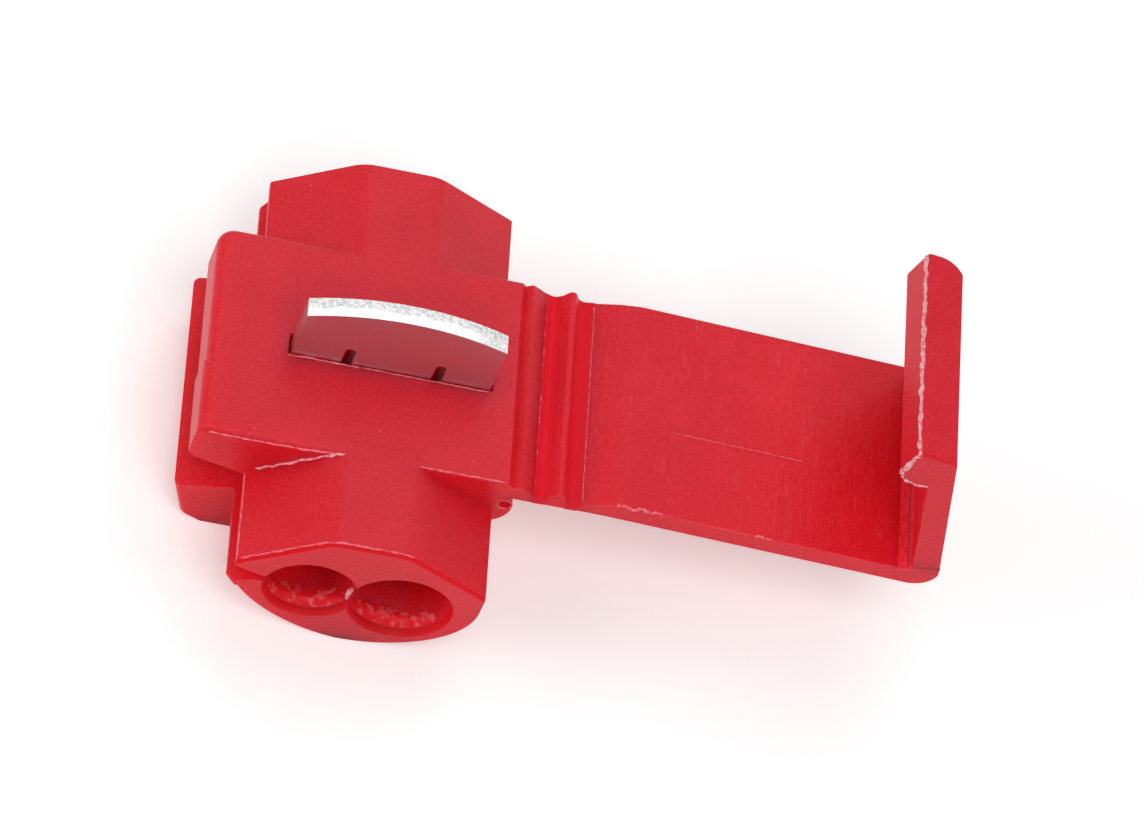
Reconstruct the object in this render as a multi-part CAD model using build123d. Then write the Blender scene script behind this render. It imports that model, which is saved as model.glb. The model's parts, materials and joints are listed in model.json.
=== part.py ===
from build123d import *
import os
from math import asin, cos, degrees, radians, sin, sqrt, tan

# Tap-splice wire connector, open as supplied. Millimetres.
# Wires lie along Y, the cover is hinged on the +X side, Z is up from the seat.
# X = 0 is midway between the two wire channels and Y = 0 is the middle of the body.

# Body: a low tube along the wires, crossed by a block that carries the hinge and the jaws
body_length = 19.2
body_height = 7.2
side_left = 5.35
side_right = 5.2
roof_left = 1.85
roof_right = 1.46
eave_right = 5.05
belly_left = 4.9
belly_left_height = 2.7
belly_left_sag = 0.56
belly_right_height = 3.9
roof_blend = 1.6
end_edge = 0.14
block_width = 10.2
block_side = 5.4
nose_reach = 0.52
nose_low = 4.1
nose_root_in = 0.26
nose_top_in = 0.17
pin_mark_x = 5.6
pin_mark_height = 5.6
pin_mark_radius = 0.25
pin_mark_depth = 0.3
seat_left = 6.3
seat_right = 4.5
seat_corner = 0.95

# Jaws: the open side through which the run wire is pressed in
jaw_reach = 7.92
jaw_step = 0.09
jaw_step_y = -1.6
jaw_heel = 0.36
jaw_edge = 0.42
jaw_far_corner = 0.8
jaw_toe_inset = 0.63
jaw_toe_height = 0.5
lower_far_reach = 0.3
lower_far_corner = 0.3
lower_near_corner = 0.28
lip_reach = 5.45
lip_low = 2.8
lip_corner = 0.28
block_edge = 0.12
slit_height = 3.61
slit_gap = 0.42
slit_inner_x = 4.2
slit_mouth_low = 0.55
slit_mouth_high = 0.62
slit_to_eave = 0.47
upper_jaw_rise = 0.62
lower_jaw_drop = 0.64

# Wire channels: the run passes through, the tap ends at a stop
channel_pitch = 3.9
channel_radius = 1.72
run_height = 3.32
tap_height = 3.2
run_mouth = 2.02
tap_mouth = 2.26
mouth_edge = 0.15
mouth_edge_depth = 0.3
lead_in = 1.6
tap_stop = 1.6

# Contact plate with two wire slots, standing raised in its pocket
plate_width = 8.6
plate_thickness = 0.9
plate_offset = -0.2
plate_end_rise = 2.95
plate_crown = 0.85
plate_foot = 5.2
slot_width = 0.44
slot_rise = 1.05
slot_lead = 1.5
slot_lead_height = 1.0
slot_lead_past = 0.1
pocket_side_gap = 0.14
pocket_face_gap = 0.06
press_travel = 3.8
press_clearance = 0.15

# Double living hinge: two thin webs with a rib between them
hinge_x = 6.72
hinge_drop = 0.83
web_half = 0.23
web_clearance = 0.03
close_clearance = 0.08
groove_x = 5.6
groove_depth = 0.27
groove_width = 0.42
shoulder_x = 5.9
shoulder_drop = 0.07
rib_left_in = 0.8
rib_left_rise = 0.76
rib_crest_rise = 0.8
rib_right_in = 0.62
rib_right_rise = 0.64

# Cover: a strap that droops a little when open, with a leaning latch wall at its end
strap_thickness = 1.0
strap_droop = 3.3
strap_ramp = 1.35
strap_ramp_drop = 0.16
strap_blend = 2.2
latch_base = 15.82
latch_base_rise = 0.45
latch_thickness = 1.15
latch_lean = 14.5
latch_split = 0.02
corner_radius = 1.1
ramp_run = 0.36
ramp_rise = 0.26
hook_under = 6.4
hook_bevel = 0.14
hook_lip = 0.5
hook_face = 0.95
hook_face_height = 6.81
hook_reach = 1.25
hook_tip = 7.4
hook_crest = 8.8
hook_crest_in = 0.6
wall_top = 8.17
wall_top_in = 0.12
wall_far_corner = 1.1

# Places that follow from the driving dimensions
run_x = -channel_pitch / 2
tap_x = channel_pitch / 2
half_length = body_length / 2
half_block = block_width / 2
axis_height = body_height - hinge_drop
slit_top = slit_height + slit_gap
mouth_low = slit_height - slit_mouth_low
mouth_high = slit_height + slit_mouth_high
eave_left = slit_top + slit_to_eave
jaw_underside = mouth_high + upper_jaw_rise
jaw_top_low = mouth_low - lower_jaw_drop
link_length = 2 * hinge_drop + close_clearance
cover_x = hinge_x + link_length
web_top = axis_height + web_half
web_bottom = axis_height - web_half
nose_root_x = block_side - nose_root_in
lower_far_y = half_block + lower_far_reach
seat_radius = web_half + web_clearance
pocket_floor = plate_foot - press_travel - press_clearance
wall_foot = hinge_drop + latch_base_rise
strap_width = block_width
same_place = 0.01
upright_slope = 2


def prism(section, low_y, high_y):
    """Extrude a section drawn in X and Z from low_y to high_y."""
    return extrude(Plane.XZ.offset(-high_y) * section, amount=high_y - low_y)


def outline(*points):
    """A closed straight-sided section."""
    return make_face(Polyline(*points, close=True))


def upright_edges(solid, x, y, reach=0.05):
    """Rising edges of a solid in the plane Y = y whose whole length lies within reach of x."""
    found = []
    for edge in solid.edges():
        low = edge.bounding_box().min
        high = edge.bounding_box().max
        near_x = abs(low.X - x) < reach and abs(high.X - x) < reach
        near_y = abs(low.Y - y) < same_place and abs(high.Y - y) < same_place
        if near_x and near_y and high.Z - low.Z > upright_slope * (high.X - low.X):
            found.append(edge)
    return found


def tube_section():
    """Section of the body between its ends: pitched roof, straight sides and a round belly."""
    bottom_x = (side_right - side_left) / 2
    bottom = (bottom_x, 0)
    left_bottom = (-belly_left, belly_left_height)
    sides = Polyline(
        left_bottom,
        (-lip_reach, lip_low),
        (-lip_reach, slit_height),
        (-side_left, slit_top),
        (-side_left, eave_left),
        (-roof_left, body_height),
        (roof_right, body_height),
        (side_right, eave_right),
        (side_right, belly_right_height),
    )
    belly_right = EllipticalCenterArc(
        (bottom_x, belly_right_height),
        side_right - bottom_x,
        belly_right_height,
        start_angle=270,
        arc_size=90,
    )
    belly = SagittaArc(left_bottom, bottom, -belly_left_sag)
    section = make_face(sides + belly_right + belly)
    ridges = [v for v in section.vertices() if abs(v.Y - body_height) < same_place]
    return fillet(ridges, roof_blend)


def tube():
    """The body between its two ends, with a small bevel over the near end of the roof."""
    solid = prism(tube_section(), -half_length, half_length)
    over_roof = []
    for edge in solid.edges().filter_by(GeomType.LINE):
        middle = edge @ 0.5
        low = edge.bounding_box().min
        at_near_end = edge.bounding_box().max.Y + half_length < same_place
        if at_near_end and middle.Z > eave_left and low.Z > eave_left - end_edge:
            over_roof.append(edge)
    solid = chamfer(over_roof, end_edge)
    for end in (-1, 1):
        trim = Rot(0, 0, 45) * Box(lip_corner * 2, lip_corner * 2, slit_height * 2)
        solid -= Pos(-lip_reach, end * half_length, 0) * trim
    return solid


def upper_jaw(reach, low_y, high_y, far_corner):
    """The upper jaw with its rounded top edge, from low_y to high_y."""
    section = outline(
        (0, slit_height),
        (0, body_height),
        (-reach, body_height),
        (-reach, jaw_underside + jaw_heel),
        (-reach + jaw_heel, jaw_underside),
        (-side_left, mouth_high),
        (-slit_inner_x, slit_height),
    )
    jaw = prism(section, low_y, high_y)
    if far_corner > 0:
        jaw = fillet(upright_edges(jaw, -reach, high_y), far_corner)
    rounded = []
    for edge in jaw.edges():
        box = edge.bounding_box()
        on_top = body_height - box.min.Z < same_place
        if on_top and box.min.X + reach < same_place:
            rounded.append(edge)
    return fillet(rounded, jaw_edge)


def upper_block():
    """The upper half of the cross block: the upper jaw, a step forward at its near end."""
    far_part = upper_jaw(jaw_reach - jaw_step, -half_block, half_block, jaw_far_corner)
    near_part = upper_jaw(jaw_reach, -half_block, jaw_step_y, 0)
    return far_part + near_part


def lower_block():
    """The lower half of the cross block: the lower jaw and the flat seat under it."""
    toe_x = -jaw_reach + jaw_toe_inset
    section = outline(
        (0, 0),
        (-seat_left, 0),
        (toe_x, jaw_toe_height),
        (-jaw_reach, jaw_top_low),
        (-side_left, mouth_low),
        (0, slit_height),
    )
    jaw = prism(section, -half_block, lower_far_y)
    reach = jaw_toe_inset + block_edge
    middle_x = -jaw_reach + jaw_toe_inset / 2
    jaw = fillet(upright_edges(jaw, middle_x, lower_far_y, reach), lower_far_corner)
    return fillet(upright_edges(jaw, middle_x, -half_block, reach), lower_near_corner)


def hinge_side():
    """The block's hinge side: a rounded nose under the roof and a full depth side wall."""
    nose_x = block_side + nose_reach
    nose_mid = (web_bottom + nose_low) / 2
    upper = Polyline(
        (nose_root_x, nose_low),
        (0, nose_low),
        (0, body_height),
        (groove_x - groove_width / 2, body_height),
        (groove_x, body_height - groove_depth),
        (shoulder_x, body_height - shoulder_drop),
        (hinge_x, web_top),
    )
    nose_top = (nose_x - nose_top_in, web_bottom)
    tongue = ThreePointArc((hinge_x, web_top), (hinge_x + web_half, axis_height), (hinge_x, web_bottom))
    under = Line((hinge_x, web_bottom), nose_top)
    nose = ThreePointArc(nose_top, (nose_x, nose_mid), (nose_root_x, nose_low))
    side = prism(make_face(upper + tongue + under + nose), -half_block, half_block)
    pin_mark = Rot(90, 0, 0) * Cylinder(pin_mark_radius, 2 * pin_mark_depth)
    return side - Pos(pin_mark_x, -half_block, pin_mark_height) * pin_mark


def seat_side():
    """The block's lower right quarter, down to the flat seat."""
    corner = block_side - seat_right
    sides = Polyline(
        (seat_right, 0),
        (0, 0),
        (0, nose_low),
        (nose_root_x, nose_low),
        (block_side, nose_low - nose_reach),
        (block_side, seat_corner),
    )
    foot = EllipticalCenterArc((seat_right, seat_corner), corner, seat_corner, start_angle=270, arc_size=90)
    return prism(make_face(sides + foot), -half_block, half_block)


def channel(x, z, mouth, blind):
    """A wire channel: bevelled mouth, tapered lead-in and parallel bore."""
    throat = mouth - mouth_edge
    far = half_length - tap_stop if blind else half_length
    bore = Pos(x, (far - half_length) / 2, z) * Rot(90, 0, 0) * Cylinder(channel_radius, far + half_length)
    for end in ([-1] if blind else [-1, 1]):
        edge = Cone(mouth, throat, mouth_edge_depth, align=(Align.CENTER, Align.CENTER, Align.MIN))
        taper = Cone(throat, channel_radius, lead_in, align=(Align.CENTER, Align.CENTER, Align.MIN))
        funnel = edge + Pos(0, 0, mouth_edge_depth) * taper
        turn = -90 if end < 0 else 90
        bore += Pos(x, end * half_length, z) * Rot(turn, 0, 0) * funnel
    return bore


def side_slit():
    """The wedge between the jaws that leads the run wire sideways into its channel."""
    out = jaw_reach + jaw_edge
    low_slope = lower_jaw_drop / (jaw_reach - side_left)
    high_slope = upper_jaw_rise / (jaw_reach - jaw_step - jaw_heel - side_left)
    past = out - side_left
    section = outline(
        (run_x, slit_height - slit_gap / 2),
        (-slit_inner_x, slit_height - slit_gap / 2),
        (-side_left, mouth_low),
        (-out, mouth_low - low_slope * past),
        (-out, mouth_high + high_slope * past),
        (-side_left, mouth_high),
        (-slit_inner_x, slit_height + slit_gap / 2),
        (run_x, slit_height + slit_gap / 2),
    )
    return prism(section, -body_length, body_length)


def pocket():
    """The pocket that the contact plate slides down in."""
    width = plate_width + 2 * pocket_side_gap
    depth = plate_thickness + 2 * pocket_face_gap
    height = body_height - pocket_floor
    return Pos(0, plate_offset, pocket_floor + height) * Box(width, depth, 2 * height)


def housing():
    """The moulded body, up to the web of the first hinge."""
    block = upper_block() + hinge_side() + lower_block() + seat_side()
    brows = []
    for edge in block.edges().filter_by(GeomType.LINE):
        middle = edge @ 0.5
        on_top = body_height - middle.Z < same_place
        at_side = half_block - abs(middle.Y) < same_place
        if on_top and at_side:
            brows.append(edge)
    solid = tube() + fillet(brows, block_edge) - side_slit()
    solid -= channel(run_x, run_height, run_mouth, blind=False)
    solid -= channel(tap_x, tap_height, tap_mouth, blind=True)
    return solid - pocket()


def hinge_link():
    """The rib between the two hinge webs, with a round seat for the web at each side."""
    spread = degrees(asin(web_half / seat_radius))
    toe = seat_radius * cos(radians(spread))
    half_x = seat_radius * cos(radians(spread / 2))
    half_z = seat_radius * sin(radians(spread / 2))
    left_toe = (hinge_x + toe, web_bottom)
    left_web = (hinge_x + seat_radius, axis_height)
    right_web = (cover_x - seat_radius, axis_height)
    right_toe = (cover_x - toe, web_bottom)
    left_seat = ThreePointArc(left_web, (hinge_x + half_x, axis_height - half_z), left_toe)
    right_seat = ThreePointArc(right_web, (cover_x - half_x, axis_height - half_z), right_toe)
    left_top = (hinge_x + rib_left_in, axis_height + rib_left_rise)
    right_top = (cover_x - rib_right_in, axis_height + rib_right_rise)
    crest_x = (left_top[0] + right_top[0]) / 2
    crest = ThreePointArc(left_top, (crest_x, axis_height + rib_crest_rise), right_top)
    sides = Line(left_web, left_top) + Line(right_top, right_web) + Line(left_toe, right_toe)
    return prism(make_face(left_seat + right_seat + crest + sides), -strap_width / 2, strap_width / 2)


def strap_section():
    """Section of the strap with its length along X and the web's axis at the origin."""
    top = hinge_drop
    bottom = top - strap_thickness
    lean = radians(latch_lean)
    inner_x = latch_base - latch_thickness * cos(lean) - latch_split
    inner_z = wall_foot - latch_thickness * sin(lean)
    ramp_top = top + ramp_rise
    side_low = bottom + corner_radius
    side_x = latch_base + (wall_foot - side_low) * tan(lean)
    bend = corner_radius / sqrt(2)
    upper = Polyline(
        (0, web_half),
        (strap_ramp, top - strap_ramp_drop),
        (strap_blend, top),
        (inner_x - ramp_run, top),
        (inner_x - (ramp_top - inner_z) * tan(lean), ramp_top),
        (inner_x, inner_z),
        (latch_base, wall_foot),
        (side_x, side_low),
    )
    corner = ThreePointArc(
        (side_x, side_low),
        (side_x - corner_radius + bend, side_low - bend),
        (side_x - corner_radius, bottom),
    )
    under = Polyline((side_x - corner_radius, bottom), (strap_ramp, bottom), (0, -web_half))
    tongue = ThreePointArc((0, -web_half), (-web_half, 0), (0, web_half))
    return make_face(upper + corner + under + tongue)


def latch_section():
    """Section of the latch wall with its outer face along Z and its foot at the origin."""
    inner = -latch_thickness
    return outline(
        (0, latch_split),
        (inner, latch_split),
        (inner, hook_under),
        (inner - hook_lip, hook_under + hook_bevel),
        (inner - hook_face, hook_face_height),
        (inner - hook_reach, hook_tip),
        (inner - hook_crest_in, hook_crest),
        (-wall_top_in, wall_top),
    )


def far_corner_trim():
    """What the round of the far outer corner takes away, along the latch wall's outer face."""
    tall = 2 * (hook_crest + wall_foot)
    square = Pos(0, strap_width / 2, 0) * Box(2 * wall_far_corner, 2 * wall_far_corner, tall)
    post = Pos(-wall_far_corner, strap_width / 2 - wall_far_corner, 0) * Cylinder(wall_far_corner, tall)
    return square - post


def at_wall(shape):
    """Put a shape drawn along the latch wall where the wall leans on the strap."""
    return Pos(latch_base, 0, wall_foot) * Rot(0, -latch_lean, 0) * shape


def on_strap(shape):
    """Put a shape drawn along the strap where the drooping open strap lies."""
    return Pos(cover_x, 0, axis_height) * Rot(0, strap_droop, 0) * shape


def latch_cover():
    """The strap, from the second hinge web to the foot of the latch wall."""
    strap = prism(strap_section(), -strap_width / 2, strap_width / 2)
    return on_strap(strap - at_wall(far_corner_trim()))


def latch_wall():
    """The leaning wall with the hook that snaps under the lower jaw."""
    wall = prism(latch_section(), -strap_width / 2, strap_width / 2)
    return on_strap(at_wall(wall - far_corner_trim()))


def contact_plate():
    """The stamped contact plate: crowned head, two wire slots and three legs."""
    half = plate_width / 2
    end_top = body_height + plate_end_rise
    slot_top = body_height + slot_rise
    head = Polyline((-half, end_top), (-half, plate_foot), (half, plate_foot), (half, end_top))
    crown = SagittaArc((half, end_top), (-half, end_top), -plate_crown)
    blank = make_face(head + crown)
    low_y = plate_offset - plate_thickness / 2
    high_y = plate_offset + plate_thickness / 2
    plate = prism(blank, low_y, high_y)
    for x in (run_x, tap_x):
        round_z = slot_top - slot_width / 2
        slot = Pos(x, plate_offset, round_z) * Rot(90, 0, 0) * Cylinder(slot_width / 2, plate_thickness * 2)
        slot += Pos(x, plate_offset, (round_z + plate_foot) / 2) * Box(
            slot_width, plate_thickness * 2, round_z - plate_foot)
        lead = outline(
            (x - slot_lead / 2, plate_foot - slot_lead_past),
            (x + slot_lead / 2, plate_foot - slot_lead_past),
            (x + slot_width / 2, plate_foot + slot_lead_height),
            (x - slot_width / 2, plate_foot + slot_lead_height),
        )
        plate -= slot
        plate -= prism(lead, low_y - plate_thickness, high_y + plate_thickness)
    return plate


os.makedirs("parts", exist_ok=True)
export_step(housing(), "parts/housing.step")
export_step(hinge_link(), "parts/hinge_link.step")
export_step(latch_cover(), "parts/latch_cover.step")
export_step(latch_wall(), "parts/latch_wall.step")
export_step(contact_plate(), "parts/contact_plate.step")
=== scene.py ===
# %% [markdown]
# # A tap-splice wire connector, dressed for the camera
#
# The real object is one small red polypropylene moulding, about 32 mm long, with a stamped
# contact plate standing in it. The solids, their sizes and their joints come from the packed
# frame. This script gives them softened edges, moulding marks and finishes, and lights them.

# %% Load the frame
import json
import math

import bmesh
import bpy
from mathutils import Matrix, Vector, noise
from mathutils.bvhtree import BVHTree

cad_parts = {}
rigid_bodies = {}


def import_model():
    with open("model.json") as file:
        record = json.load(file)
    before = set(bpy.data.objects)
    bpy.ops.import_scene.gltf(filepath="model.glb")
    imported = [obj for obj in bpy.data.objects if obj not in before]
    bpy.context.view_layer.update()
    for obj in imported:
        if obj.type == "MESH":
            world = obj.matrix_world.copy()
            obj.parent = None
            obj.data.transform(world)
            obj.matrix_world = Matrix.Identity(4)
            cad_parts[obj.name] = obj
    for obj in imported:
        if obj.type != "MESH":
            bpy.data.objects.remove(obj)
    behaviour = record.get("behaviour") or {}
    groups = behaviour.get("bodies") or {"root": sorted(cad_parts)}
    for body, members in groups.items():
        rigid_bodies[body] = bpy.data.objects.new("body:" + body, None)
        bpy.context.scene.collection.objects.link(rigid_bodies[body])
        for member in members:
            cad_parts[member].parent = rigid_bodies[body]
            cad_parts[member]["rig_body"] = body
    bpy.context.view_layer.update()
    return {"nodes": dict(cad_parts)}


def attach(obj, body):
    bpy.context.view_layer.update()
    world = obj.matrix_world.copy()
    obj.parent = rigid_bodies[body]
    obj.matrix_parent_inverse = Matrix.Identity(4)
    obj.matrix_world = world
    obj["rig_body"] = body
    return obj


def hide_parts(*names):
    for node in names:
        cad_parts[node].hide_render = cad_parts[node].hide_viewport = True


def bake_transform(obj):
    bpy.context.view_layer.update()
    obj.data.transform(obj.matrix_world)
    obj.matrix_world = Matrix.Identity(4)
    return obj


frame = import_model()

MM = 0.001

# %% [markdown]
# ## The camera
#
# The photograph was taken from above, with a long lens and the camera rolled to the right.
# A camera could be aimed by hand, but a fit of the body's straight edges gives all of it:
# where the view comes from, the roll, the focal length and the distance. The three axes of
# the camera are worked out from those angles and written as the columns of its matrix.

# %% Camera
PHOTO_WIDTH = 1146
FOCAL_PX = 7507
SENSOR_MM = 36
VIEW_AZIMUTH = math.radians(-19.035)
VIEW_ELEVATION = math.radians(54.850)
VIEW_ROLL = math.radians(26.497)
VIEW_DISTANCE = 320.8 * MM
AIM_RIGHT = 9.585 * MM
AIM_UP = 1.325 * MM
FIT_OFFSET = Vector((0.25, 0, -0.4)) * MM


def direction(azimuth, elevation):
    """The unit vector that points from the part towards a viewer at these angles."""
    level = math.cos(elevation)
    return Vector((math.sin(azimuth) * level, -math.cos(azimuth) * level, math.sin(elevation)))


cam_back = direction(VIEW_AZIMUTH, VIEW_ELEVATION)
cam_level = Vector((math.cos(VIEW_AZIMUTH), math.sin(VIEW_AZIMUTH), 0))
cam_above = cam_back.cross(cam_level)
cam_right = cam_level * math.cos(VIEW_ROLL) + cam_above * math.sin(VIEW_ROLL)
cam_up = cam_above * math.cos(VIEW_ROLL) - cam_level * math.sin(VIEW_ROLL)
eye = cam_right * AIM_RIGHT + cam_up * AIM_UP + cam_back * VIEW_DISTANCE - FIT_OFFSET
camera_data = bpy.data.cameras.new("camera")
camera_data.sensor_width = SENSOR_MM
camera_data.lens = FOCAL_PX / PHOTO_WIDTH * SENSOR_MM
camera_data.clip_start = 0.01
camera_data.clip_end = 20
camera = bpy.data.objects.new("camera", camera_data)
turned = Matrix((cam_right, cam_up, cam_back)).transposed().to_4x4()
camera.matrix_world = Matrix.Translation(eye) @ turned
bpy.context.scene.collection.objects.link(camera)
bpy.context.scene.camera = camera
print("lens mm:", round(camera_data.lens, 1))

# %% [markdown]
# ## Writing materials as sums
#
# A material is a tree of nodes, and placing each Math node by hand hides the idea. The small
# class below wraps a socket, so that a mask can be written as `1 - dots * 0.5`, and every
# operator adds its own Math node. All other nodes come from one method of the board.

# %% A socket that does arithmetic
class Signal:
    """One value in a material, which Python's operators work on."""

    def __init__(self, board, socket):
        self.board = board
        self.socket = socket

    def math(self, operation, *others):
        values = {0: self}
        for place, other in enumerate(others, 1):
            values[place] = other
        return self.board.add("ShaderNodeMath", {"operation": operation}, values)[0]

    def __add__(self, other):
        return self.math("ADD", other)

    def __sub__(self, other):
        return self.math("SUBTRACT", other)

    def __rsub__(self, other):
        return (self * -1) + other

    def __mul__(self, other):
        return self.math("MULTIPLY", other)

    def __truediv__(self, other):
        return self.math("DIVIDE", other)

    __radd__ = __add__
    __rmul__ = __mul__

    def clamp(self):
        """The value held between 0 and 1."""
        return self.math("MAXIMUM", 0).math("MINIMUM", 1)

    def step(self, low, high):
        """0 below low, 1 above high, and a smooth rise between."""
        settings = {"interpolation_type": "SMOOTHSTEP"}
        values = {"Value": self, "From Min": low, "From Max": high}
        return self.board.add("ShaderNodeMapRange", settings, values)["Result"]


# %% A board of nodes
class Outputs:
    """The outputs of one node, by name or by number."""

    def __init__(self, board, node):
        self.board = board
        self.node = node

    def __getitem__(self, name):
        return Signal(self.board, self.node.outputs[name])


class Board:
    """A node tree, emptied, with its output node, ready to be filled in."""

    def __init__(self, owner, output="ShaderNodeOutputMaterial"):
        owner.use_nodes = True
        self.owner = owner
        self.tree = owner.node_tree
        self.tree.nodes.clear()
        self.output = self.tree.nodes.new(output)

    def add(self, kind, settings=None, values=None):
        """Add a node: its settings first, then the values or links of its sockets."""
        node = self.tree.nodes.new(kind)
        for key, value in (settings or {}).items():
            setattr(node, key, value)
        for key, value in (values or {}).items():
            if isinstance(value, Signal):
                self.tree.links.new(value.socket, node.inputs[key])
            else:
                node.inputs[key].default_value = value
        return Outputs(self, node)

    def place(self, grain_mm, stretch, shift):
        """The spot on the part, in lumps of grain_mm, stretched along the axes."""
        scale = [1 / (grain_mm * MM * s) for s in stretch]
        spot = self.add("ShaderNodeTexCoord")["Object"]
        values = {"Vector": spot, "Scale": scale, "Location": shift}
        return self.add("ShaderNodeMapping", {}, values)["Vector"]

    def axis(self, name):
        """One coordinate of the surface in the part's frame, in millimetres."""
        spot = self.add("ShaderNodeTexCoord")["Object"]
        return self.add("ShaderNodeSeparateXYZ", {}, {"Vector": spot})[name] / MM

    def noise(self, grain_mm, detail=2.0, stretch=(1, 1, 1), shift=(0, 0, 0)):
        """Noise whose lumps are grain_mm across, stretched along the axes."""
        spot = self.place(grain_mm, stretch, shift)
        values = {"Vector": spot, "Scale": 1.0, "Detail": detail, "Roughness": 0.55}
        return self.add("ShaderNodeTexNoise", {}, values)["Fac"]

    def specks(self, spacing_mm, size, share):
        """Small round specks, one in some of the cells of a loose lattice."""
        spot = self.place(spacing_mm, (1, 1, 1), (0.3, 0.7, 0.1))
        cells = self.add("ShaderNodeTexVoronoi", {}, {"Vector": spot, "Scale": 1.0})
        chosen = self.add("ShaderNodeSeparateColor", {}, {"Color": cells["Color"]})["Red"]
        near = 1 - cells["Distance"].step(size * 0.6, size)
        return near * chosen.math("GREATER_THAN", 1 - share)

    def blend(self, factor, first, second):
        """A colour between first and second."""
        values = {0: factor, 6: first, 7: second}
        return self.add("ShaderNodeMix", {"data_type": "RGBA"}, values)[2]

    def bump(self, height, depth_mm):
        """A normal from a height signal."""
        values = {"Height": height, "Distance": depth_mm * MM}
        return self.add("ShaderNodeBump", {}, values)["Normal"]

    def finish(self, kind, values, socket):
        """Put the last node on the output and return what the tree belongs to."""
        last = self.add(kind, {}, values)[0]
        self.tree.links.new(last.socket, self.output.inputs[socket])
        return self.owner


def surface(name, fill):
    """A material whose shader takes the values that fill returns for its board."""
    board = Board(bpy.data.materials.new(name))
    return board.finish("ShaderNodeBsdfPrincipled", fill(board), "Surface")


# %% [markdown]
# ## The red moulding
#
# The moulding is satin polypropylene. Light enters it and travels a millimetre or two, so the
# wire mouths and the thin strap glow red where an opaque plastic would go brown. Its face has
# a faint orange-peel grain and a few pale specks. The pink of the lit faces isn't in the
# colour: it is the white room in the sheen, so the colour is left deep.

# %% Red plastic
RED_DEEP = (0.680, 0.0060, 0.0155, 1)
RED_PALE = (0.790, 0.0200, 0.0385, 1)
SPECK = (0.78, 0.17, 0.20, 1)
RUBBED_AND_EDGE_HIGHLIGHT = (0.82, 0.17, 0.21, 1)
SHEEN_TINT = (1.0, 0.80, 0.96, 1)
GLOW_REACH = (1.0, 0.05, 0.05)
GLOW_DEPTH = 3.0 * MM


# Painted shade: the band reds are deeper than the body's red.
BAND_SHADE_DEEP = (0.720, 0.0020, 0.0080, 1)
BAND_SHADE_PALE = (0.770, 0.0080, 0.0150, 1)
SCRAP_DEEP = (0.84, 0.003, 0.014, 1)
MATT_DEEP = (0.800, 0.010, 0.020, 1)
MATT_PALE = (0.900, 0.028, 0.050, 1)
# Painted light: the foot's reds are brighter than the body's, to lift the shade under the hook.
FOOT_PAINTED_LIGHT_DEEP = (0.92, 0.008, 0.022, 1)
FOOT_PAINTED_LIGHT_PALE = (0.98, 0.045, 0.07, 1)
# The lip's pale pink is partly frosted flash and partly painted highlight.
LIP_DEEP = (0.78, 0.008, 0.016, 1)
LIP_PALE_HIGHLIGHT = (0.84, 0.12, 0.14, 1)
FLASH_THICK = (0.80, 0.10, 0.13, 1)
FLASH_THIN = (0.95, 0.50, 0.53, 1)
LINE_THICK = (0.84, 0.035, 0.055, 1)
LINE_THIN = (0.92, 0.24, 0.28, 1)


def moulded(board, colour, rough, height, depth_mm=0.030, glow=1.0, sheen=0.21):
    """The shader values that every red surface shares; thin scraps have no glow."""
    return {
        "Base Color": colour,
        "Roughness": rough,
        "Normal": board.bump(height, depth_mm),
        "IOR": 1.49,
        "Specular IOR Level": sheen,
        "Specular Tint": SHEEN_TINT,
        "Subsurface Weight": glow,
        "Subsurface Radius": GLOW_REACH,
        "Subsurface Scale": GLOW_DEPTH,
    }


def red_face(board, streak=0.0, grazes=0.0, glow=1.0):
    """Satin faces; streak adds fine draw marks along Y, and grazes adds rubbed patches."""
    cloud = board.noise(2.6, 3)
    grain = board.noise(0.15, 2)
    tone = (cloud + grain * 2.6 - 1.3).clamp()
    colour = board.blend(tone, RED_DEEP, RED_PALE)
    colour = board.blend(board.specks(0.85, 0.07, 0.35) * 0.5, colour, SPECK)
    height = grain + cloud
    if streak:
        lines = board.noise(0.10, 2, stretch=(1, 16, 4))
        height = height + lines * streak
        colour = board.blend(lines.step(0.58, 0.75) * 0.16, colour, RUBBED_AND_EDGE_HIGHLIGHT)
    if grazes:
        worn = board.noise(0.5, 4, stretch=(1, 3, 1), shift=(2, 6, 1)).step(0.60, 0.78)
        colour = board.blend(worn * grazes, colour, RUBBED_AND_EDGE_HIGHLIGHT)
    return moulded(board, colour, 0.26 + grain * 0.22, height, glow=glow)


def red_rim(board):
    """Edges a little paler, in short broken lengths: partly rubbed wear, partly painted highlight.
    """
    broken = board.noise(0.28, 3).step(0.42, 0.68)
    # Painted highlight in part: the rims start from the pale end of the red and add paler patches.
    colour = board.blend(broken * 0.30 + 0.03, RED_PALE, RUBBED_AND_EDGE_HIGHLIGHT)
    return moulded(board, colour, 0.42, board.noise(0.09, 2), 0.012)


def red_band_shade(board):
    """The slanted bands round the mouths and along the front edge: a deeper red that is painted
    shade, and less sheen.
    """
    colour = board.blend(board.noise(0.3, 2), BAND_SHADE_DEEP, BAND_SHADE_PALE)
    return moulded(board, colour, 0.45, board.noise(0.15, 2), 0.008, sheen=0.10)


def red_scrap(board):
    """Thin pieces: the webs and the faint lines, smooth and deep in colour."""
    drawn = board.noise(0.15, 2, stretch=(1, 6, 1))
    colour = board.blend(drawn, SCRAP_DEEP, RED_PALE)
    return moulded(board, colour, 0.50, board.noise(0.15, 2), 0.008, glow=0.0, sheen=0.12)


def red_matt(board):
    """The rib of the hinge and the seams: the moulding's own colour without the deep glow."""
    grain = board.noise(0.15, 2)
    colour = board.blend((grain * 2.6 - 0.8).clamp(), MATT_DEEP, MATT_PALE)
    return moulded(board, colour, 0.30 + grain * 0.16, grain, 0.03, glow=0.25)


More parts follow.
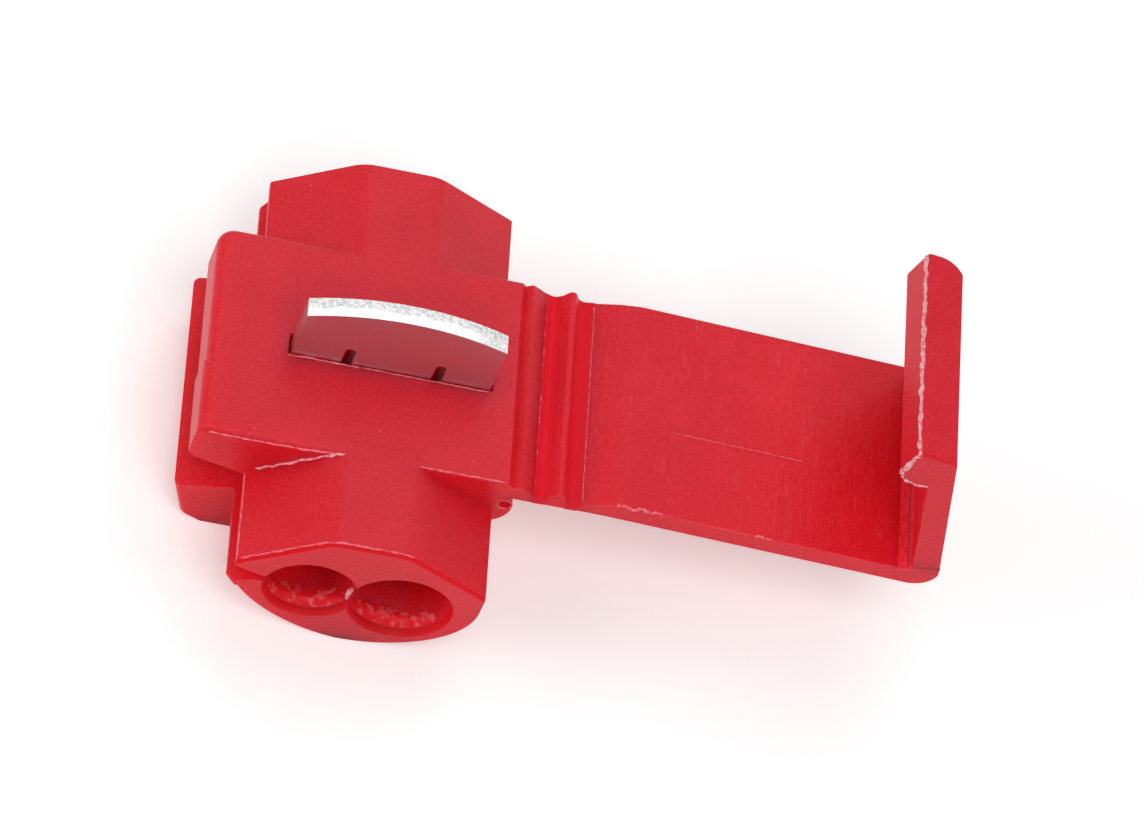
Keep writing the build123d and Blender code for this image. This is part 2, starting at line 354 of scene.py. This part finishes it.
def red_foot_painted_light(board):
    """The hollow curve at the foot of the latch wall: mottled, and far paler than the body, which
    is painted light against the shade under the hook.
    """
    mottle = board.noise(0.16, 3).step(0.35, 0.7)
    colour = board.blend(mottle, FOOT_PAINTED_LIGHT_DEEP, FOOT_PAINTED_LIGHT_PALE)
    return moulded(board, colour, 0.45, board.noise(0.12, 2), 0.03, glow=0.0)


def frayed(board, thick, thin):
    """Flash: plastic squeezed thin and torn, so that it goes pale and matt."""
    torn = board.noise(0.14, 3)
    colour = board.blend(torn.step(0.30, 0.58), thick, thin)
    return moulded(board, colour, 0.55, torn, 0.008, glow=0.0)


def lip_flash_and_highlight(board):
    """The dull lip inside each mouth, mottled pink: the pale patches are partly frosted flash and
    partly painted highlight.
    """
    torn = board.noise(0.40, 3)
    # Painted highlight in part: the pale patches stand for light on the floor of the hole as well
    # as flash.
    colour = board.blend(torn.step(0.46, 0.66), LIP_DEEP, LIP_PALE_HIGHLIGHT)
    return moulded(board, colour, 0.45, torn, 0.05, glow=0.0)


red_body = surface("red_body", red_face)
red_strap = surface("red_strap", lambda board: red_face(board, 0.7, 0.10, 0.75))
red_wall = surface("red_wall", lambda board: red_face(board, glow=0.5))
red_edge = surface("red_edge", red_rim)
flash_pale = surface("flash_pale", lambda board: frayed(board, FLASH_THICK, FLASH_THIN))
# Pale lines for the faint mould marks, and for the painted highlights on a few edges.
flash_and_highlight_soft = surface("flash_and_highlight_soft", lambda board: frayed(board, LINE_THICK, LINE_THIN))
lip_pink_highlight = surface("lip_pink_highlight", lip_flash_and_highlight)
band_shade_material = surface("red_band_shade", red_band_shade)
red_thin = surface("red_scrap", red_scrap)
red_hollow = surface("red_foot_painted_light", red_foot_painted_light)
red_smooth = surface("red_matt", red_matt)
print("plastics:", len(bpy.data.materials))

# %% [markdown]
# ## The tinned contact plate
#
# The plate is brass with a bright tin coat. Its flat faces are smooth and mirror the red
# plastic under them. Its top edge was sheared in a press: the part of the edge nearer the
# camera is burnished, and its white colour there is partly painted highlight; the part
# behind it broke away and is rough and grey.

# %% Tin
TIN = (0.72, 0.67, 0.70, 1)
TIN_WORN = (0.60, 0.56, 0.59, 1)
TIN_BRIGHT = (0.98, 0.98, 0.98, 1)
TIN_GREY = (0.66, 0.67, 0.67, 1)


def tin_face(board):
    """The rolled and plated faces, with a few smudges and dents."""
    rolled = board.noise(0.10, 2, stretch=(12, 1, 1))
    stain = board.noise(1.1, 4)
    pits = board.specks(0.55, 0.12, 0.4)
    colour = board.blend(stain, TIN, TIN_WORN)
    return {
        "Base Color": board.blend(pits * 0.3, colour, TIN_BRIGHT),
        "Metallic": 1.0,
        "Roughness": 0.24 + stain * 0.16,
        "Normal": board.bump(rolled + stain + pits * 0.5, 0.006),
    }


def tin_edge(board):
    """The sheared top edge: burnished towards the near face, near white there as a partly painted
    highlight, and broken behind.
    """
    wander = board.noise(0.7, 3) * 0.36
    broken = (board.axis("Y") + wander - board.axis("X") * 0.012).step(-0.16, 0.05)
    right_end = board.axis("X").step(2.2, 3.9)
    chips = board.noise(0.15, 3, shift=(4, 2, 9))
    pale = chips.step(0.36, 0.62)
    grey = board.blend(pale, TIN_GREY, TIN_BRIGHT)
    torn = (broken + right_end * chips.step(0.45, 0.55)).clamp()
    # Painted highlight in part: the burnished near part is near white and only half metallic, so
    # it shows white as its own colour.
    colour = board.blend(torn, TIN_BRIGHT, grey)
    return {
        "Base Color": colour,
        "Metallic": 0.55 - torn * 0.2,
        "Roughness": 0.30 + torn * 0.26,
        "Normal": board.bump(board.noise(0.12, 3) * (torn + 0.15), 0.09),
    }


tin = surface("tin_face", tin_face)
sheared = surface("tin_edge", tin_edge)
print("metals:", tin.name, sheared.name)

# %% [markdown]
# ## Softening the edges
#
# No moulded edge is knife sharp: each one has a radius of a few hundredths of a millimetre,
# and that small round is what catches the light. A Bevel node could fake it in the shading,
# but the meshes are a result in their own right, so the rounds are cut into a copy of each
# solid. The copy's triangles are first joined into whole faces, then the sharp edges are
# beveled. The rounds get a material of their own, a little paler: partly rubbed wear, and
# partly a painted highlight along the edges.

# %% Where the strap and the latch wall stand
DROOP = math.radians(3.3)
LEAN = math.radians(14.5)
STRAP_ROOT = Vector((8.46, 0, 6.37)) * MM
WALL_X = 15.82
WALL_ROOT = Vector((WALL_X, 0, 1.28)) * MM
on_strap = Matrix.Translation(STRAP_ROOT) @ Matrix.Rotation(DROOP, 4, "Y")
wall_turn = Matrix.Rotation(-LEAN, 4, "Y")
at_wall = on_strap @ Matrix.Translation(WALL_ROOT) @ wall_turn

# %% Copy a solid and round its edges
SHARP = math.radians(24)
CREASE = math.radians(48)
FLAT = math.radians(0.3)
WELD = 0.0005 * MM
HOOK_END_Y = 5.09
HOOK_LEFT_X = -1.7


def new_piece(name, mesh, materials):
    """A smooth-shaded object from a mesh, with its materials."""
    for material in materials:
        mesh.materials.append(material)
    for face in mesh.polygons:
        face.use_smooth = True
    mesh.set_sharp_from_angle(angle=CREASE)
    piece = bpy.data.objects.new(name, mesh)
    bpy.context.scene.collection.objects.link(piece)
    return piece


def far_corner(edge):
    """True for the edges of the hook's left slope at the far end of the latch wall."""
    spots = [at_wall.inverted() @ v.co / MM for v in edge.verts]
    return all(s.y > HOOK_END_Y and s.x < HOOK_LEFT_X for s in spots)


def rounded_copy(node, radius, face_material, rim_material, wide=0):
    """A copy of a CAD node with rounded edges, which stands for the node."""
    source = frame["nodes"][node]
    mesh = source.data.copy()
    mesh.name = node + "_finish"
    mesh.materials.clear()
    work = bmesh.new()
    work.from_mesh(mesh)
    bmesh.ops.remove_doubles(work, verts=work.verts, dist=WELD)
    bmesh.ops.dissolve_limit(work, angle_limit=FLAT, verts=work.verts, edges=work.edges)
    for face in work.faces:
        face.material_index = 0
    if wide:
        corner = [edge for edge in work.edges if far_corner(edge)]
        bmesh.ops.bevel(
            work, geom=corner, offset=wide, segments=5, profile=0.5, affect="EDGES"
        )
    edges = []
    for edge in work.edges:
        if len(edge.link_faces) == 2 and edge.calc_face_angle(0) > SHARP:
            edges.append(edge)
    bmesh.ops.bevel(
        work,
        geom=edges,
        offset=radius,
        offset_type="OFFSET",
        segments=3,
        profile=0.5,
        affect="EDGES",
        clamp_overlap=True,
        miter_outer="ARC",
        material=1,
    )
    work.to_mesh(mesh)
    work.free()
    piece = new_piece(node + "_finish", mesh, [face_material, rim_material])
    weigh = piece.modifiers.new("weigh", "WEIGHTED_NORMAL")
    weigh.mode = "FACE_AREA"
    weigh.keep_sharp = True
    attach(piece, source["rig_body"])
    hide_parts(node)
    print(node, "faces:", len(mesh.polygons))
    return piece


EDGE_ROUND = 0.06 * MM
HOOK_ROUND = 0.30 * MM
PLATE_ROUND = 0.035 * MM
housing = rounded_copy("housing", EDGE_ROUND, red_body, red_edge)
hinge_link = rounded_copy("hinge_link", EDGE_ROUND, red_smooth, red_edge)
strap = rounded_copy("latch_cover", EDGE_ROUND, red_strap, red_edge)
latch = rounded_copy("latch_wall", EDGE_ROUND, red_wall, red_edge, HOOK_ROUND)
plate = rounded_copy("contact_plate", PLATE_ROUND, tin, tin)

# %% The sheared edge of the plate
UPWARD = 0.5
PLATE_TOP = 9 * MM
plate.data.materials.append(sheared)
for face in plate.data.polygons:
    if face.normal.z > UPWARD and face.center.z > PLATE_TOP:
        face.material_index = 2

# %% The bands round the mouths and along the front edge
FRONT = -9.1 * MM
SLANT_LOW = 0.25
SLANT_HIGH = 0.97
# Painted shade: the slanted faces at the front of the body get the deeper red of the bands.
housing.data.materials.append(band_shade_material)
bands = 0
for face in housing.data.polygons:
    if face.center.y < FRONT and SLANT_LOW < -face.normal.y < SLANT_HIGH:
        face.material_index = 2
        bands += 1
print("band faces:", bands)

# %% [markdown]
# ## The webs of the hinge
#
# In the solids each living hinge is a round tongue in a seat, with a hair of clearance, so
# that the joint can turn. In the moulding the two are one: the plastic just gets thin. A
# strip laid in each valley closes the gap.

# %% Webs
HALF_WIDTH = 5.1
SLICES = 60
FAR_CORNER = 1.1
FOOT_X = 15.835
WEB_OVERLAP = 0.008


def skin(name, rings, material, closed=True):
    """A piece over rings of points; closed ones get both ends, open ones are sheets."""
    work = bmesh.new()
    loops = [[work.verts.new(spot) for spot in ring] for ring in rings]
    count = len(loops[0])
    for first, second in zip(loops, loops[1:]):
        for i in range(count if closed else count - 1):
            j = (i + 1) % count
            work.faces.new((first[i], first[j], second[j], second[i]))
    if closed:
        work.faces.new(loops[0][::-1])
        work.faces.new(loops[-1])
    bmesh.ops.recalc_face_normals(work, faces=work.faces)
    mesh = bpy.data.meshes.new(name)
    work.to_mesh(mesh)
    work.free()
    return new_piece(name, mesh, [material])


def no_corner(y):
    """The strip's far end is square."""
    return math.inf


def round_corner(y):
    """How far out the strip may reach at y, where the far outer corner is rounded."""
    past = max(0, y - (HALF_WIDTH - FAR_CORNER))
    return FOOT_X - FAR_CORNER + math.sqrt(max(0, FAR_CORNER ** 2 - past ** 2))


def web(
    name, profile, material, place=Matrix.Identity(4), reach=no_corner
):
    """A strip across the full width with the given section, set in place by a matrix."""
    half = HALF_WIDTH + WEB_OVERLAP
    rings = []
    for cut in range(SLICES + 1):
        y = -half + 2 * half * cut / SLICES
        rings.append([place @ (Vector((min(x, reach(y)), y, z)) * MM) for x, z in profile])
    piece = skin(name, rings, material)
    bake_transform(piece)
    print(name, "faces:", len(piece.data.polygons))


left_valley = [
    (6.50, 6.700), (6.60, 6.686), (6.68, 6.648), (6.76, 6.614), (6.86, 6.584), (6.96, 6.572),
    (7.05, 6.592), (7.12, 6.632), (7.18, 6.684), (7.23, 6.700), (7.22, 6.40), (7.10, 6.132),
    (6.60, 6.132),
]
right_valley = [
    (7.94, 6.700), (8.00, 6.716), (8.04, 6.684), (8.10, 6.634), (8.20, 6.590), (8.30, 6.580),
    (8.38, 6.596), (8.46, 6.612), (8.54, 6.630), (8.62, 6.648), (8.74, 6.650), (8.64, 6.40),
    (8.56, 6.132), (8.06, 6.132), (8.00, 6.40),
]
web("web_left", left_valley, red_thin)
web("web_right", right_valley, red_thin)

# %% [markdown]
# ## The foot of the latch wall
#
# The wall grows out of the strap through a hollow curve. The solids split there so that the
# wall can flex. A small filler of the same kind closes the corner inside, and a thin strip
# covers the seam outside. The filler is kept slim, because the block's corner nests in it
# when the cover is closed.

# %% Foot filler
STRAP_TOP = 0.83
WALL_THICK = 1.15
INNER_X = WALL_X - WALL_THICK * math.cos(LEAN)
hollow = (
    (-0.62, -0.02), (-0.56, 0.008), (-0.45, 0.03), (-0.33, 0.08), (-0.19, 0.13),
    (-0.10, 0.25), (-0.065, 0.38), (0.05, 0.46), (0.12, -0.1), (-0.55, -0.1),
)
foot = [(INNER_X + x, STRAP_TOP + z) for x, z in hollow]
web("foot_filler", foot, red_hollow, on_strap)
seam = [
    (14.72, 0.95), (14.72, 1.07), (15.20, 1.19), (15.828, 1.345), (15.840, 1.21), (15.20, 1.06),
]
web(
    "foot_seam", seam, red_smooth, on_strap,
    round_corner,
)

# %% [markdown]
# ## Flash and mould lines
#
# Where the halves of a mould meet, a thin fin of plastic squeezes out and tears when the part
# is pushed from the mould. In the photograph these fins are the whitest things on the
# plastic: along the ridge of the latch wall, and where the jaws meet the tube. Each one here
# is a thin ragged strip of mesh. Its line is laid on the solid by casting rays at it, so it
# sits on the surface from every side. A few pale lines built the same way are painted
# highlights on edges: on the eave of the tube, along the blade slot, and between the mouths.

# %% Find the surface under a point
trees = {}
for node in ("housing", "latch_cover"):
    mesh = frame["nodes"][node].data
    corners = [v.co for v in mesh.vertices]
    trees[node] = BVHTree.FromPolygons(corners, [p.vertices for p in mesh.polygons])


def cast(node, point, heading):
    """Where a ray that starts at a point in millimetres meets a solid."""
    hit = trees[node].ray_cast(Vector(point) * MM, Vector(heading))[0]
    return hit if hit else Vector(point) * MM


def spaced(points, gap_mm):
    """Points along a broken line, about gap_mm apart."""
    line = []
    for first, second in zip(points, points[1:]):
        count = max(1, round((second - first).length / (gap_mm * MM)))
        for i in range(count):
            line.append(first.lerp(second, i / count))
    return line + [points[-1]]


# %% Build a ragged fin
FIN_STEP = 0.07
FIN_SINK = 0.02 * MM
HEIGHT_GRAIN = 0.25
WIDTH_GRAIN = 0.28
SWAY_GRAIN = 0.35
TAPER_STEPS = 3


def roughness(spot, seed, grain_mm):
    """A value from 0 to 1 that changes over grain_mm along the part."""
    return 0.5 + 0.5 * noise.noise(spot / (grain_mm * MM) + Vector((seed * 7.3, seed * 3.1, seed)))


def fin(name, body, points, lift, width, height, material, seed=1, ragged=0.7):
    """A ragged fin along a line of points in metres, standing along lift."""
    line = spaced(points, FIN_STEP)
    last = len(line) - 1
    up = Vector(lift).normalized()
    rings = []
    for i, spot in enumerate(line):
        along = (line[min(i + 1, last)] - line[max(i - 1, 0)]).normalized()
        side = along.cross(up).normalized()
        ends = min(1, i / TAPER_STEPS, (last - i) / TAPER_STEPS)
        tall = height * MM * (1 - ragged + ragged * 1.6 * roughness(spot, seed, HEIGHT_GRAIN))
        tall *= 0.1 + 0.9 * ends
        half = 0.5 * width * MM * (0.3 + 1.4 * roughness(spot, seed + 4, WIDTH_GRAIN))
        swing = ragged * (roughness(spot, seed + 9, SWAY_GRAIN) - 0.5)
        sway = side * width * MM * 1.6 * swing
        low = spot - up * FIN_SINK + sway * 0.6
        rings.append([
            low - side * half,
            spot - side * half * 0.45 + up * tall * 0.8 + sway,
            spot + side * half * 0.35 + up * tall + sway,
            low + side * half,
        ])
    piece = skin(name, rings, material)
    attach(piece, body)
    print(name, "steps:", len(line))


# %% Fins on the latch wall
def wall_line(*points):
    """Points given along the latch wall, placed in the part's frame."""
    return [at_wall @ (Vector(p) * MM) for p in points]


wall_up = (at_wall.to_3x3() @ Vector((-0.35, 0, 0.94))).normalized()
ridge = wall_line(
    (-1.75, 4.95, 8.80), (-1.75, 2.2, 8.80), (-1.75, 1.6, 8.79), (-1.75, -5.06, 8.80)
)
fin("flash_ridge", "latch", ridge, wall_up, 0.17, 0.11, flash_pale, 1, 0.95)
crest_end = wall_line((-1.76, -5.05, 8.78), (-2.10, -5.09, 8.05), (-2.38, -5.09, 7.42))
fin("flash_crest", "latch", crest_end, (-0.5, -0.8, 0.3), 0.20, 0.10, flash_pale, 2, 0.95)
under_hook = wall_line(
    (-2.38, -5.09, 7.36), (-2.12, -5.09, 6.86), (-1.70, -5.09, 6.58), (-1.18, -5.09, 6.44)
)
fin("flash_hook", "latch", under_hook, (-0.3, -0.9, -0.3), 0.16, 0.06, flash_pale, 3, 0.95)
lip_line = wall_line(
    (-1.66, -4.98, 8.76), (-1.3, -4.93, 8.66), (-0.8, -4.93, 8.46), (-0.2, -5.0, 8.2)
)
fin("crease_wall", "latch", lip_line, wall_up, 0.07, 0.012, red_thin, 30)
inner_edge = wall_line((-1.17, -5.08, 6.1), (-1.17, -5.08, 3.8))
fin("mark_wall", "latch", inner_edge, (-0.7, -0.7, 0), 0.07, 0.03, red_thin, 4)

# %% Fins on the body
ABOVE = 9
DOWN = (0, 0, -1)


def over_roof(y, xs):
    """Points on top of the body at the given x values."""
    return [cast("housing", (x, y, ABOVE), DOWN) for x in xs]


def spread(low, high, count):
    """Evenly spaced values from low to high."""
    return [low + (high - low) * i / count for i in range(count + 1)]


TUBE_FRONT = -9.45
BLOCK_FRONT = -5.1
front_left = over_roof(TUBE_FRONT, spread(-5.2, 1.7, 40))
fin("mark_tube_front", "body", front_left, (0, -0.5, 0.86), 0.08, 0.03, flash_and_highlight_soft, 5, 0.6)
valley = over_roof(BLOCK_FRONT - 0.03, spread(-4.95, -1.65, 24))
fin("flash_valley", "body", valley, (-0.4, -0.6, 0.7), 0.13, 0.10, flash_pale, 7, 0.9)
brow_spots = ((-7.4, 6.93), (-5.6, 6.90), (-3.5, 6.92), (-1.75, 7.06))
brow = [Vector((x, BLOCK_FRONT - 0.002, z)) * MM for x, z in brow_spots]
fin("mark_brow_left", "body", brow, (0, -0.8, 0.6), 0.08, 0.035, flash_and_highlight_soft, 8, 0.5)
brow_right = [Vector((x, BLOCK_FRONT + 0.05, 7.185)) * MM for x in (1.6, 3.3, 5.2)]
fin("mark_brow_right", "body", brow_right, (0, -0.6, 0.8), 0.07, 0.03, flash_and_highlight_soft, 9, 0.5)
# Painted highlight: a pale line along the lower left edge of the near tube's roof, where that edge
# shines.
eave = [Vector((-5.34, y, 4.53)) * MM for y in (-9.4, -7.5, -5.3)]
fin("eave_highlight", "body", eave, (-0.8, 0, 0.6), 0.06, 0.02, flash_and_highlight_soft, 10, 0.5)

# %% Fine lines on the top
UP = (0, 0, 1)


def scored(name, node, body, ends, width, height, seed, material):
    """A faint raised line laid on the top of a solid between two points in x and y."""
    (x0, y0), (x1, y1) = ends
    points = []
    for t in spread(0, 1, 24):
        points.append(cast(node, (x0 + (x1 - x0) * t, y0 + (y1 - y0) * t, ABOVE), DOWN))
    fin(name, body, points, UP, width, height, material, seed)


on_block = (
    ("line_insert_left", ((-4.45, 4.95), (-4.2, 1.4)), 0.05, 0.006, 11, red_thin),
    ("line_insert_right", ((4.2, 4.95), (4.27, 3.2)), 0.05, 0.006, 12, red_thin),
    # Painted highlight: the two pale lines along the near lip of the blade slot stand for the
    # light on that edge.
    ("pocket_lip_highlight_left", ((-4.42, -0.76), (-1.4, -0.74)), 0.10, 0.03, 13, flash_and_highlight_soft),
    ("pocket_lip_highlight_right", ((-1.2, -0.74), (4.3, -0.76)), 0.07, 0.018, 14, flash_and_highlight_soft),
    ("dent_left", ((0.9, -0.98), (1.75, -0.92)), 0.12, 0.03, 15, red_thin),
    ("dent_right", ((2.3, -1.05), (4.1, -1.3)), 0.06, 0.015, 16, red_thin),
)
for name, ends, width, height, seed, material in on_block:
    scored(name, "housing", "body", ends, width, height, seed, material)
NOSE = 5.6
NOSE_RADIUS = 0.31
ring = []
for step in range(25):
    turn = 2 * math.pi * step / 24
    x = NOSE + NOSE_RADIUS * math.cos(turn)
    z = NOSE + NOSE_RADIUS * math.sin(turn)
    ring.append(Vector((x, BLOCK_FRONT, z)) * MM)
fin("ring_nose", "body", ring, (0, -1, 0), 0.07, 0.02, flash_and_highlight_soft, 18)
rim_line = [Vector((6.595, y, 6.674)) * MM for y in (4.9, -4.95)]
fin("line_rim", "body", rim_line, UP, 0.07, 0.010, flash_and_highlight_soft, 20, 0.8)
ramp_line = [on_strap @ (Vector((0.22, y, 0.305)) * MM) for y in (4.9, -4.95)]
fin("line_ramp", "cover", ramp_line, UP, 0.05, 0.015, flash_and_highlight_soft, 19, 0.8)
for name, xs, width, seed in (
    ("flecks_left", (1.6, 3.6), 0.14, 26),
    ("flecks_right", (7.7, 8.5), 0.10, 27),
):
    flecks = [on_strap @ (Vector((x, -5.06, 0.82)) * MM) for x in xs]
    fin(name, "cover", flecks, (0, -0.5, 0.86), width, 0.03, flash_and_highlight_soft, seed, 1.0)
scratch = ((12.3, -0.88), (18.2, -0.86))
scored("scratch_strap", "latch_cover", "cover", scratch, 0.045, 0.012, 17, flash_and_highlight_soft)

# %% [markdown]
# ## Inside the mouths
#
# Behind the beveled rim of each mouth a dull lip of plastic catches the light along the floor
# of the hole, and its pale pink is partly frosted flash and partly painted highlight. It is
# thickest at the bottom and dies out up the sides.

# %% Mouth lips
LIP_SPAN = math.radians(66)
LIP_CUTS = 48
LIP_GRAIN = 0.3
LIP_Y = -9


def mouth_lip(name, x, z, radius, height, seed):
    """A crescent on the floor of a round mouth, facing outwards."""
    rings = []
    for i in range(LIP_CUTS + 1):
        share = 2 * i / LIP_CUTS - 1
        angle = share * LIP_SPAN
        spot = Vector((x + radius * math.sin(angle), LIP_Y, z - radius * math.cos(angle))) * MM
        torn = 0.7 + 0.6 * roughness(spot, seed, LIP_GRAIN)
        tall = height * (1 - share * share) * torn + 0.004
        section = (
            (-9.26, -0.03), (-9.16, 0.30 * tall), (-9.00, 0.85 * tall), (-8.88, tall),
            (-8.5, 0.5 * tall), (-8.1, -0.03),
        )
        ring = []
        for y, inset in section:
            reach = radius - inset
            side = Vector((x + reach * math.sin(angle), y, z - reach * math.cos(angle)))
            ring.append(side * MM)
        rings.append(ring)
    piece = skin(name, rings, lip_pink_highlight, closed=False)
    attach(piece, "body")
    print(name, "faces:", len(piece.data.polygons))


mouth_lip("lip_run", -1.95, 3.32, 1.85, 0.30, 21)
mouth_lip("lip_tap", 1.95, 3.20, 2.08, 0.34, 22)
# Painted highlight in part: a white flash nib on the front edge of the web between the mouths,
# where that edge shines.
nib_spots = ((-0.22, -9.14, 2.45), (-0.20, -9.15, 2.8), (-0.16, -9.12, 3.3))
nib = [Vector(p) * MM for p in nib_spots]
fin("nib_flash_and_highlight", "body", nib, (-0.5, -0.85, 0.1), 0.22, 0.16, flash_pale, 23, 0.6)

# %% [markdown]
# ## Floor, room and lamps
#
# The photograph is a product shot on white. The floor is a plain pale sheet that keeps the
# soft shadow. Floor and room are white for the eye, for mirrored rays and for rays through
# glass, so the sheen of the plastic shows a white studio. On the part itself they throw no
# more light than a pale table and a dim room do. Four large soft lamps light it: from above
# in front and behind, from the left, and a weak one from the right.

# %% Floor
FLOOR_HALF = 1.5
FLOOR_GLOW = 0.32
BLACK = (0, 0, 0, 1)
WHITE = (1, 1, 1, 1)


def seen_rays(board):
    """1 for rays of the eye, of a mirror and through glass, 0 for light on a surface."""
    path = board.add("ShaderNodeLightPath")
    seen = path["Is Camera Ray"] + path["Is Glossy Ray"] + path["Is Transmission Ray"]
    return seen.math("MINIMUM", 1)


def floor_white(board):
    """A pale table that looks white without lighting the part."""
    return {
        "Base Color": (0.93, 0.93, 0.93, 1),
        "Roughness": 0.9,
        "Emission Color": board.blend(seen_rays(board), BLACK, WHITE),
        "Emission Strength": FLOOR_GLOW,
    }


floor_mesh = bpy.data.meshes.new("floor")
corners = [(-1, -1), (1, -1), (1, 1), (-1, 1)]
spots = [(x * FLOOR_HALF, y * FLOOR_HALF, 0) for x, y in corners]
floor_mesh.from_pydata(spots, [], [(0, 1, 2, 3)])
floor = bpy.data.objects.new("floor", floor_mesh)
bpy.context.scene.collection.objects.link(floor)
floor_mesh.materials.append(surface("floor_white", floor_white))

# %% Room
ROOM_LEVEL = 0.21
room = Board(bpy.data.worlds.new("room"), "ShaderNodeOutputWorld")
bpy.context.scene.world = room.owner
strength = seen_rays(room) * (1 - ROOM_LEVEL) + ROOM_LEVEL
room.finish("ShaderNodeBackground", {"Color": WHITE, "Strength": strength}, "Surface")


# %% Lamps
LAMP_AWAY = 0.8
LAMP_AIM = Vector((8, 0, 3)) * MM


def soft_lamp(name, azimuth, elevation, size, power):
    """A square area lamp, aimed at the middle of the part."""
    data = bpy.data.lights.new(name, "AREA")
    data.shape = "SQUARE"
    data.size = size
    data.energy = power
    lamp = bpy.data.objects.new(name, data)
    away = direction(math.radians(azimuth), math.radians(elevation))
    lamp.location = LAMP_AIM + away * LAMP_AWAY
    lamp.rotation_euler = away.to_track_quat("Z", "Y").to_euler()
    bpy.context.scene.collection.objects.link(lamp)


soft_lamp("key", 8, 58, 0.5, 2.75)
soft_lamp("back", 168, 58, 0.5, 1.25)
soft_lamp("left", 280, 22, 0.6, 1.95)
soft_lamp("right", 120, 22, 0.5, 0.35)
bpy.context.scene.view_settings.view_transform = "Standard"
